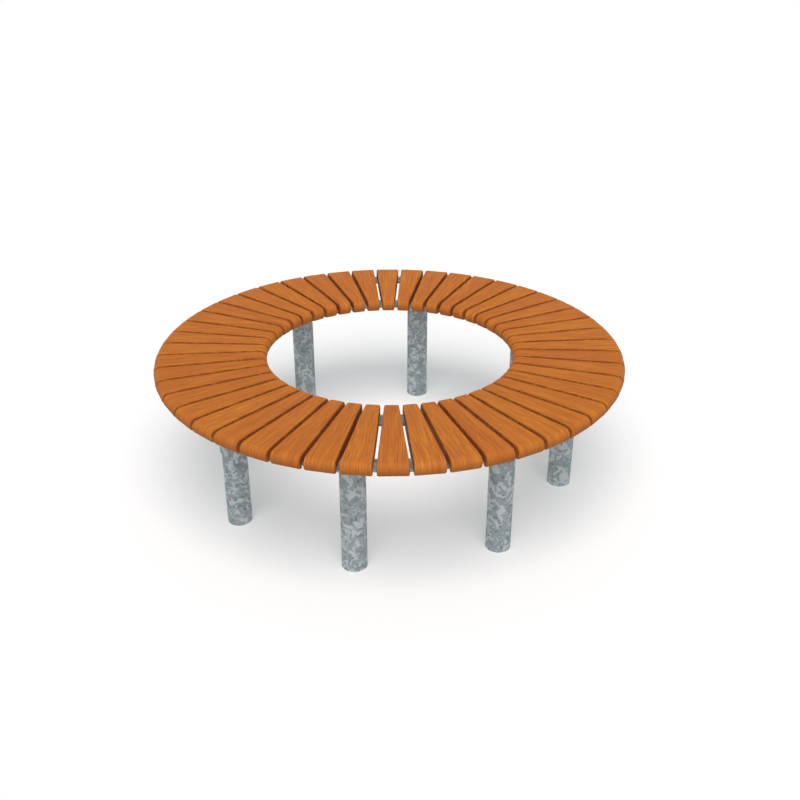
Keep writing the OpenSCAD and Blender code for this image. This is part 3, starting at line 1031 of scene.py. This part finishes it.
def set_floor(stage):
    """A wide pale disc that takes the bench's shadow and shows nothing from below."""
    bm = bmesh.new()
    rim = ring_of_vertices(bm, (0.0, 0.0), stage.floor_r, GROUND_Z, FLOOR_SIDES)
    bm.faces.new(rim)
    mesh = bpy.data.meshes.new("floor")
    bm.to_mesh(mesh)
    bm.free()
    floor = bpy.data.objects.new("floor", mesh)
    bpy.context.scene.collection.objects.link(floor)
    material, tree, shader = new_material("Pale floor")
    tree.nodes.remove(shader)
    direct = seen_directly(tree)
    glow = (stage.floor_glow,) * 3
    shaded = tuple(1.0 - part for part in stage.floor_base)
    paint = blend_colours(tree, direct, (0.0, 0.0, 0.0), shaded)
    diffuse = add_node(tree, "ShaderNodeBsdfDiffuse", {"Color": paint})
    lift = add_node(tree, "ShaderNodeEmission",
                    {"Color": blend_colours(tree, direct, glow, tuple(stage.floor_base))})
    both = add_node(tree, "ShaderNodeAddShader", {0: diffuse.outputs[0], 1: lift.outputs[0]})
    under = add_node(tree, "ShaderNodeNewGeometry").outputs["Backfacing"]
    clear = add_node(tree, "ShaderNodeBsdfTransparent")
    mixed = add_node(tree, "ShaderNodeMixShader", {0: under, 1: both.outputs[0],
                                                   2: clear.outputs[0]})
    out = next(node for node in tree.nodes if node.type == "OUTPUT_MATERIAL")
    tree.links.new(mixed.outputs[0], out.inputs["Surface"])
    mesh.materials.append(material)


def set_world(stage):
    """White where it is seen, and a soft glow on the bench, most of it from low down."""
    world = bpy.data.worlds.new("Studio")
    bpy.context.scene.world = world
    world.use_nodes = True
    tree = world.node_tree
    glow = next(node for node in tree.nodes if node.type == "BACKGROUND")
    glow.inputs["Color"].default_value = (1.0, 1.0, 1.0, 1.0)
    direct = seen_directly(tree)
    towards = add_node(tree, "ShaderNodeTexCoord").outputs["Generated"]
    height = add_node(tree, "ShaderNodeSeparateXYZ", {0: towards}).outputs["Z"]
    dome = spread(tree, height, math.sin(stage.backdrop_top - BACKDROP_BLUR),
                  math.sin(stage.backdrop_top + BACKDROP_BLUR), stage.backdrop_glow,
                  stage.sky_glow)
    tree.links.new(maths(tree, "MAXIMUM", direct, dome), glow.inputs["Strength"])


def set_lamp(name, comes_from, floor_share, spread_angle):
    """A broad lamp far away that gives the floor its share of the light."""
    lamp = bpy.data.lights.new(name, "SUN")
    lamp.angle = spread_angle
    lamp.energy = math.pi * floor_share / comes_from.z
    holder = bpy.data.objects.new(name, lamp)
    holder.rotation_mode = "QUATERNION"
    holder.rotation_quaternion = comes_from.to_track_quat("Z", "Y")
    holder.location = comes_from * LAMP_DISTANCE
    bpy.context.scene.collection.objects.link(holder)


def set_camera(stage):
    """The camera of the picture: outside the ring, above it, looking down across it."""
    lens = bpy.data.cameras.new("Camera")
    lens.lens = stage.lens_mm
    lens.sensor_width = SENSOR_MM
    lens.shift_y = stage.shift_y
    lens.clip_end = CAMERA_REACH
    holder = bpy.data.objects.new("Camera", lens)
    turn = Matrix.Rotation(stage.camera_turn, 3, "Z")
    level = math.cos(stage.camera_pitch)
    look = turn @ Vector((math.sin(stage.camera_swing) * level,
                          math.cos(stage.camera_swing) * level,
                          -math.sin(stage.camera_pitch)))
    holder.location = turn @ Vector((0.0, -stage.camera_distance, stage.camera_height))
    holder.rotation_euler = look.to_track_quat("-Z", "Y").to_euler()
    bpy.context.scene.collection.objects.link(holder)
    bpy.context.scene.camera = holder


class TREE_BENCH_PT_panel(bpy.types.Panel):
    """The bench's pieces and settings in the sidebar"""
    bl_idname = "TREE_BENCH_PT_panel"
    bl_label = "Tree bench"
    bl_space_type = "VIEW_3D"
    bl_region_type = "UI"
    bl_category = "Tree bench"

    def draw(self, context):
        bench = context.scene.tree_bench
        for group in ("ring", "slat", "post", "fastener", "finish", "stage"):
            box = self.layout.box()
            box.label(text=group.capitalize())
            values = getattr(bench, group)
            for name in type(values).__annotations__:
                box.prop(values, name)
        for operator in OPERATORS:
            self.layout.operator(operator.bl_idname)


SETTING_GROUPS = (RingSizes, SlatSizes, PostSizes, FastenerSizes, Finishes, StageSettings,
                  BenchSettings)
OPERATORS = (TREE_BENCH_OT_slats, TREE_BENCH_OT_posts, TREE_BENCH_OT_rails,
             TREE_BENCH_OT_bolts, TREE_BENCH_OT_screws, TREE_BENCH_OT_stage)


def register():
    for group in (*SETTING_GROUPS, *OPERATORS, TREE_BENCH_PT_panel):
        bpy.utils.register_class(group)
    bpy.types.Scene.tree_bench = PointerProperty(type=BenchSettings)


def unregister():
    del bpy.types.Scene.tree_bench
    for group in reversed((*SETTING_GROUPS, *OPERATORS, TREE_BENCH_PT_panel)):
        bpy.utils.unregister_class(group)


def main():
    """Builds the bench round the frame."""
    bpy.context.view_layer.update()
    register()
    bpy.ops.tree_bench.slats()
    bpy.ops.tree_bench.posts()
    bpy.ops.tree_bench.rails()
    bpy.ops.tree_bench.bolts()
    bpy.ops.tree_bench.screws()
    bpy.ops.tree_bench.stage()


if __name__ == "__main__":
    main()
